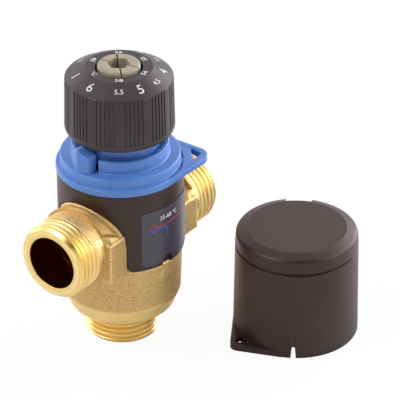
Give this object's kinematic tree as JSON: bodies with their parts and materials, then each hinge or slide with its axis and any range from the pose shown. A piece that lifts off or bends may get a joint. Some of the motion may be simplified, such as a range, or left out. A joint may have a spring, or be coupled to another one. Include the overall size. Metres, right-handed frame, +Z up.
{
  "type": "mixing valve",
  "caption": "Three-port brass mixing valve for tap water with a black setting knob, a blue index ring, a black cover sleeve and a loose protective cap.",
  "frame": {"origin": "centre of the end face of the bottom port, the cold inlet", "axes": "+Z up along the spindle, +X out of the hot inlet, -X out of the mixed outlet, -Y towards the label"},
  "size_m": [0.0961, 0.0929, 0.1042],
  "materials": {
    "cast_brass": "sand-cast and blasted, with machined threads and faces",
    "turned_brass": "turned bright",
    "black_plastic": "satin moulded",
    "dial_plastic": "satin moulded with white printed numbers",
    "blue_plastic": "semi-gloss moulded",
    "label_film": "printed film with a flow arrow",
    "cream_plastic": "satin moulded",
    "seal_rubber": "smooth",
    "spring_steel": "drawn wire",
    "white_plastic": "moulded"
  },
  "bodies": {
    "valve": {"valve_body": "cast_brass", "cover_sleeve": "black_plastic", "flow_label": "label_film", "index_ring": "blue_plastic", "bonnet": "turned_brass", "bonnet_o_ring": "seal_rubber", "seat_cage": "white_plastic", "hot_seat": "white_plastic", "return_spring": "spring_steel"},
    "knob": {"adjusting_knob": "dial_plastic", "collet_insert": "cream_plastic", "spindle": "turned_brass", "spindle_o_ring_lower": "seal_rubber", "spindle_o_ring_upper": "seal_rubber", "spindle_circlip": "spring_steel"},
    "nut": {"setting_nut": "turned_brass", "plunger_retainer": "spring_steel", "overload_spring": "spring_steel"},
    "plunger": {"overload_plunger": "turned_brass", "element_pin": "spring_steel"},
    "shuttle": {"control_shuttle": "white_plastic", "shuttle_o_ring": "seal_rubber", "sensing_element": "turned_brass"},
    "cap": {"protective_cap": "black_plastic"}
  },
  "joints": [
    {"name": "knob_turn", "type": "hinge", "parent": "valve", "child": "knob", "pos_m": [0, 0, 0.09], "axis": [0, 0, 1], "range_deg": [-315, 0]},
    {"name": "nut_lift", "type": "slide", "parent": "valve", "child": "nut", "axis": [0, 0, 1], "range_m": [-0.0035, 0]},
    {"name": "overload_give", "type": "slide", "parent": "nut", "child": "plunger", "axis": [0, 0, 1], "range_m": [0, 0.0025], "stiffness_N_per_m": 3000, "springref_m": -0.002, "deforming": ["overload_spring"]},
    {"name": "shuttle_travel", "type": "slide", "parent": "valve", "child": "shuttle", "axis": [0, 0, 1], "range_m": [-0.0012, 0.0012], "stiffness_N_per_m": 3000, "deforming": ["return_spring"]},
    {"name": "cap_lift", "type": "slide", "parent": "valve", "child": "cap", "axis": [0, 0, 1], "range_m": [0, 0.08]}
  ],
  "couplings": [
    {"joint": "nut_lift", "follows": "knob_turn", "m_per_rad": 0.0006366}
  ]
}
